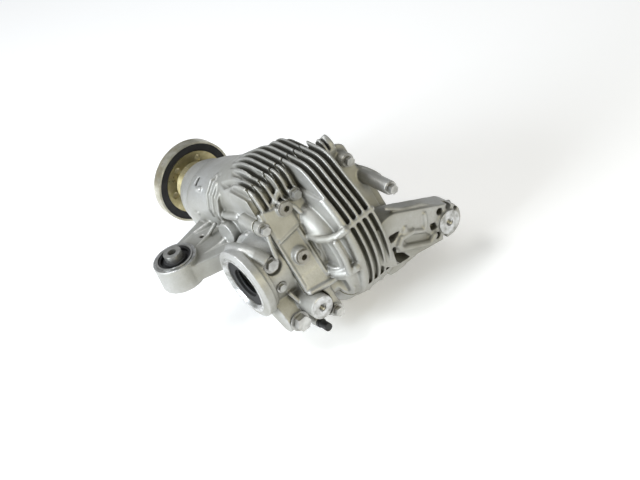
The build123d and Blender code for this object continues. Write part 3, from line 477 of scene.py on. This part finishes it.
def cover_adds(bm, tree):
    """What is added to the cover."""
    # ribs on the arm
    loop = ((-105, -20), (-86, -17), (-79, -24), (-81, -32), (-90, -36), (-124, -54), (-134, -48))
    bead(bm, rear_outline(-99.5, loop), 4.4)
    hook = ((-95, -14), (-110, -24), (-122, -31), (-127, -24), (-130, -10))
    bead(bm, rear_outline(-98.5, hook), 3.8)
    bead(bm, rear_outline(-97, ((-96, -9), (-93, -12))), 5.0)
    bead(bm, rear_outline(-92, ((-84, 30), (-108, 12), (-132, 2), (-158, -20))), 3.0)
    rod(bm, (-99, -73, -19), (-76, -72, -19), 4.2, 4.8)
    # web under the arm
    web = ((-54, -58), (-62, -71), (-74, -73), (-104, -71), (-138, -69), (-150, -60), (-146, -46),
           (-96, -50))
    prism(bm, rear_outline(-83, web), (13, 0, 0))
    # the outermost fin is a thick one
    outer = ((-1, 113), (-8, 119), (-16, 117.5), (-22, 111), (-24, 102), (-21, 86), (-19, 72),
             (-15, 74), (-9, 95))
    prism(bm, side_outline(-84.5, outer), (0, 7, 0))
    # bridge across the fins
    bead(bm, [(-95.5, -20, 46), (-95.5, -64, 47)], 3.4)
    # ledges on the near flank of the dome
    bead(bm, [(-45, 6, 33), (-64, 5, 34), (-80, -1, 37), (-92, -9, 42), (-98, -17, 47)], 5.0)
    bead(bm, [(-60, 6, -18), (-76, 5, -18), (-90, -1, -15), (-100, -12, -9)], 6.0)
    bead(bm, [(-95, 0, 38), (-98, -2, 12), (-97, -2, -12)], 4.0)
    # thicker ends of the plate, its lower ridge, its edge rails and its step
    plate_patch(bm, [(44, 40), (8, 52), (8, 80), (45, 80)], 8, 11.5)
    plate_patch(bm, [(43, 138), (14, 138), (14, 160), (43, 160)], 7, 9.5)
    bead(bm, [on_joint(44, 161, 9), on_joint(18, 165, 9.5), on_joint(2, 166, 9)], 4.2)
    bead(bm, [on_joint(12.5, s, 9.5) for s in (58, 90, 155)], 2.2)
    bead(bm, [on_joint(47, s, 8) for s in (42, 90, 150)], 2.2)
    bead(bm, [on_joint(43, 84, 10), on_joint(12, 80, 10.5)], 2.6)
    # wall behind the upper plug, spreading to the bolt between the fins
    bead(bm, [(-16, 27, 84), (-18, 17, 91), (-15, 8, 98)], 3.6)
    bead(bm, [(-30, 8, 80), (-33, 4, 74), (-38, 2, 66)], 3.0)
    # ribs on the far flank
    for rib in (((-20, 60), (-50, 56), (-84, 34)), ((-30, -70), (-62, -62), (-86, -30))):
        laid(bm, tree, side_outline(0, rib), NEAR, 3.2)
    # ribs underneath
    for y in (-50, -28, -6):
        laid(bm, tree, [(-50, y, 0), (-84, y, 0)], UPWARD, 2.8)


def housing_cuts(bm):
    """What is cut out of the housing."""
    # small blind holes between the output boss and the ear, and below them
    rod(bm, (113, 70, 36), (113, 42, 30), 4.5)
    rod(bm, (131, 74, 20), (131, 74, 2), 3.0)
    rod(bm, (112, 64, -42), (112, 40, -42), 2.4)
    # notch on the neck
    notch = [(176.0, 39.3, 58.0), (176.0, 28.7, 65.4), (167.4, 30.3, 67.4), (167.4, 40.9, 60.0)]
    prism(bm, notch, (-3.2, -6, -8.7))
    # open seam where the fins meet the cover's
    seam = ((3.6, 123), (7.0, 123), (1.4, 109), (-1.8, 109))
    prism(bm, side_outline(41, seam), (0, -106, 0))
    # pocket at the lower end of the joint
    pocket = ((-8, -50), (4, -52), (2, -66), (-14, -60))
    prism(bm, side_outline(66, pocket), (0, 30, 0))


def housing_adds(bm, tree):
    """What is added to the housing."""
    # rounded knuckles and ribs round the output boss
    bead(bm, [(30, 52, 34), (46, 54, 24), (60, 54, 10)], 7.0)
    rod(bm, (87, 34, 17), (84, 59, 20), 21, 15)
    ball(bm, (104, 44, 40), 9)
    bead(bm, [(40, 49, 62), (60, 46, 52), (84, 46, 44)], 6.0)
    bead(bm, [(-30, 52, 60), (-36, 56, 44), (-40, 58, 34)], 3.2)
    bead(bm, [(-20, 50, -46), (-38, 54, -42), (-58, 46, -40)], 6.0)
    bead(bm, [(-44, 62, -22), (-52, 58, -36)], 3.0)
    # lip of the output mouth: rings that grow and shift towards the joint
    inner, outer, mouth_end = 38.9, 43, 98.4
    for shift in (0, 2, 4, 6, 7.5):
        back = 84 + 0.4 * shift
        centre = (-0.84 * shift, back, 0.54 * shift)
        sleeve(bm, centre, NEAR, inner + shift, outer + shift, mouth_end - back)
    sleeve(bm, (-4.2, 79, 2.7), NEAR, 42, 46, 12)
    # knob beside the mouth
    ball(bm, (-44, 97, 27), 3.0)
    # heavy knuckle running over the boss to the large side screw
    bead(bm, [(14, 86, 44), (-6, 82, 46), (-20, 76, 43)], 10.5)
    rod(bm, (-20, 76, 43), (-34.5, 69.5, 32), 11)
    # wall between the ear's gussets
    wall = ((20, 20), (49, 30), (52, 46), (45.5, 66), (32.5, 79), (20, 81))
    prism(bm, rear_outline(90, wall), (29, 0, 0))
    # ribs on the far flank
    flank = (((48, 62), (100, 48), (196, 26)), ((48, -2), (120, 0), (222, 0)),
             ((48, -56), (100, -44), (196, -26)), ((92, 66), (92, -60)))
    for rib in flank:
        laid(bm, tree, side_outline(0, rib), NEAR, 3.4)
    # ribs under the body
    under = (((-20, 22), (90, 16), (214, 8)), ((-20, -34), (90, -20), (214, -10)),
             ((34, 44), (34, -58)), ((100, 34), (100, -38)))
    for rib in under:
        laid(bm, tree, [(x, y, 0) for x, y in rib], UPWARD, 3.4)
    # ribs on the ear's web
    bead(bm, [(96, 92, 4), (92, 70, 6), (88, 54, 12)], 4.5)
    bead(bm, [(146, 104, 4), (148, 76, 6), (142, 52, 10)], 4.5)
    bead(bm, [(118, 96, 6), (120, 70, 10), (118, 54, 20)], 3.0)
    # rails along the neck
    bead(bm, [(196, 46, 20), (180, 50, 18), (160, 52, 22)], 4.0)
    bead(bm, [(196, 30, 40), (178, 36, 44), (150, 40, 58)], 4.0)


# ---------------------------------------------------------------- as-cast skins
VOXEL = 1.2 * MM
SOFTEN_FACTOR = 0.5
SOFTEN_PASSES = 3


def new_object(name, mesh):
    piece = bpy.data.objects.new(name, mesh)
    bpy.context.scene.collection.objects.link(piece)
    return piece


def apply_modifiers(piece):
    graph = bpy.context.evaluated_depsgraph_get()
    mesh = bpy.data.meshes.new_from_object(piece.evaluated_get(graph))
    piece.modifiers.clear()
    piece.data = mesh


def cast_skin(name, node_name, cuts, adds):
    """A casting grown from its CAD node, with cast detail and softened corners."""
    piece = new_object(name, nodes[node_name].data.copy())
    shape = bmesh.new()
    shape.from_mesh(piece.data)
    tree = BVHTree.FromBMesh(shape)
    shape.free()

    bm = bmesh.new()
    cuts(bm)
    tools = new_object("tools", finished(bm))
    cut = piece.modifiers.new("cut", "BOOLEAN")
    cut.operation = "DIFFERENCE"
    cut.solver = "EXACT"
    cut.use_self = True
    cut.object = tools
    apply_modifiers(piece)
    bpy.data.objects.remove(tools)

    bm = bmesh.new()
    adds(bm, tree)
    extra = finished(bm)
    bm = bmesh.new()
    bm.from_mesh(piece.data)
    bm.from_mesh(extra)
    bm.to_mesh(piece.data)
    bm.free()

    remesh = piece.modifiers.new("voxels", "REMESH")
    remesh.mode = "VOXEL"
    remesh.voxel_size = VOXEL
    smooth = piece.modifiers.new("soften", "SMOOTH")
    smooth.factor = SOFTEN_FACTOR
    smooth.iterations = SOFTEN_PASSES
    apply_modifiers(piece)
    for polygon in piece.data.polygons:
        polygon.use_smooth = True
    piece.data.materials.clear()
    piece.data.materials.append(CAST)
    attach(piece, HOUSING_BODY)
    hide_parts(node_name)


cast_skin("housing_casting", "front_housing", housing_cuts, housing_adds)
cast_skin("cover_casting", "rear_cover", cover_cuts, cover_adds)

# ---------------------------------------------------------------- machined faces and threads
LAND_SIDES = 96
LAND_PROUD = 0.25
LAND_DEPTH = 1.5
OUTER_BREAK, OUTER_DROP = 0.3, 0.15
INNER_BREAK = 0.4

THREAD_RADIUS = 5.1
THREAD_PITCH = 1.75
THREAD_TURNS = 9
THREAD_STEPS = 36
THREAD_START = 0.6
CREST_HEIGHT = 0.75
CREST_HALF = 0.1
ROOT_HALF = 0.62
ROOT_SUNK = 0.1


def machined_piece(name, mesh, at, direction):
    """A bright surface on the housing, made about local +Z and put at a point facing a way."""
    mesh.transform(facing(at, direction))
    piece = new_object(name, mesh)
    piece.data.materials.append(MACHINED)
    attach(piece, HOUSING_BODY)


def land(name, at, direction, profile):
    """A turned ring from a closed (radius, height) profile."""
    bm = bmesh.new()
    turned(bm, Matrix.Identity(4), profile, LAND_SIDES)
    machined_piece(name, finished(bm), at, direction)


def face_ring(name, at, direction, inner, outer):
    """A thin machined ring with broken edges."""
    profile = (
        (inner, -LAND_DEPTH), (outer, -LAND_DEPTH), (outer, LAND_PROUD - OUTER_DROP),
        (outer - OUTER_BREAK, LAND_PROUD), (inner + INNER_BREAK, LAND_PROUD),
        (inner, LAND_PROUD - INNER_BREAK),
    )
    land(name, at, direction, profile)


def thread(name, at, direction):
    """The crests of an internal thread, as one helical wire."""
    root, crest = THREAD_RADIUS + ROOT_SUNK, THREAD_RADIUS - CREST_HEIGHT
    bm = bmesh.new()
    previous = None
    for i in range(THREAD_STEPS * THREAD_TURNS + 1):
        angle = math.tau * i / THREAD_STEPS
        height = -THREAD_START - THREAD_PITCH * i / THREAD_STEPS
        c, s = math.cos(angle), math.sin(angle)
        points = (
            (root, height - ROOT_HALF), (crest, height - CREST_HALF),
            (crest, height + CREST_HALF), (root, height + ROOT_HALF),
        )
        row = [bm.verts.new(Vector((r * c, r * s, h)) * MM) for r, h in points]
        if previous:
            join_rows(bm, previous, row)
        else:
            bm.faces.new(row)
        previous = row
    bm.faces.new(reversed(previous))
    machined_piece(name, finished(bm), at, direction)


LEFT_MOUNT = (-81, 44, -43)
RIGHT_MOUNT = (-103, -160, -44)
MOUTH = ((34.05, -4.5), (41.4, -4.5), (41.4, 0.1), (38.0, 0.3), (37.6, 0.1), (34.05, -3.6))
face_ring("left_mount_face", LEFT_MOUNT, REAR, 5.2, 15.8)
face_ring("right_mount_face", RIGHT_MOUNT, REAR, 5.2, 16.4)
face_ring("nose_face", (240, 0, 0), FRONT, 33.2, 38.4)
face_ring("ear_face", (118, 126, 15), UPWARD, 26.1, 30.2)
land("left_mouth_face", (0, 99, 0), NEAR, MOUTH)
land("right_mouth_face", (0, -112, 0), FAR, MOUTH)
thread("left_mount_thread", LEFT_MOUNT, REAR)
thread("right_mount_thread", RIGHT_MOUNT, REAR)

# ---------------------------------------------------------------- floor and light, in metres
FLOOR_SIZE = 12.0
FLOOR_GAP = 0.001
FLOOR_TONE = (0.94, 0.94, 0.94)
FLOOR_ROUGH = 0.9
FLOOR_GLOW = 0.22
LIGHT_SIZE = 1.0
SKY = (0.96, 0.98, 1.0, 1.0)
SKY_STRENGTH = 0.30

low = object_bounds()[0]
bpy.ops.mesh.primitive_plane_add(size=FLOOR_SIZE, location=(0, 0, low[2] - FLOOR_GAP))
floor = bpy.context.object
floor.name = "floor"
pale = Nodes("pale_floor")
floor.data.materials.append(pale.finish(FLOOR_TONE, FLOOR_ROUGH, glow=FLOOR_GLOW))


def area_light(name, at, power, colour):
    """A soft square light that faces the origin."""
    light = bpy.data.lights.new(name, "AREA")
    light.shape = "SQUARE"
    light.size = LIGHT_SIZE
    light.energy = power
    light.color = colour
    lamp = bpy.data.objects.new(name, light)
    lamp.location = at
    lamp.rotation_euler = (-Vector(at)).to_track_quat("-Z", "Y").to_euler()
    bpy.context.scene.collection.objects.link(lamp)


area_light("key", (0.1, 2.0, 0.9), 48, (0.88, 0.94, 1.0))
area_light("top", (0.7, 0.8, 2.1), 24, (0.98, 0.99, 1.0))
area_light("rear", (-2.1, -0.1, 0.8), 14, (1.0, 0.91, 0.60))
world = bpy.data.worlds.new("studio")
world.use_nodes = True
background = world.node_tree.nodes["Background"]
background.inputs["Color"].default_value = SKY
background.inputs["Strength"].default_value = SKY_STRENGTH
bpy.context.scene.world = world
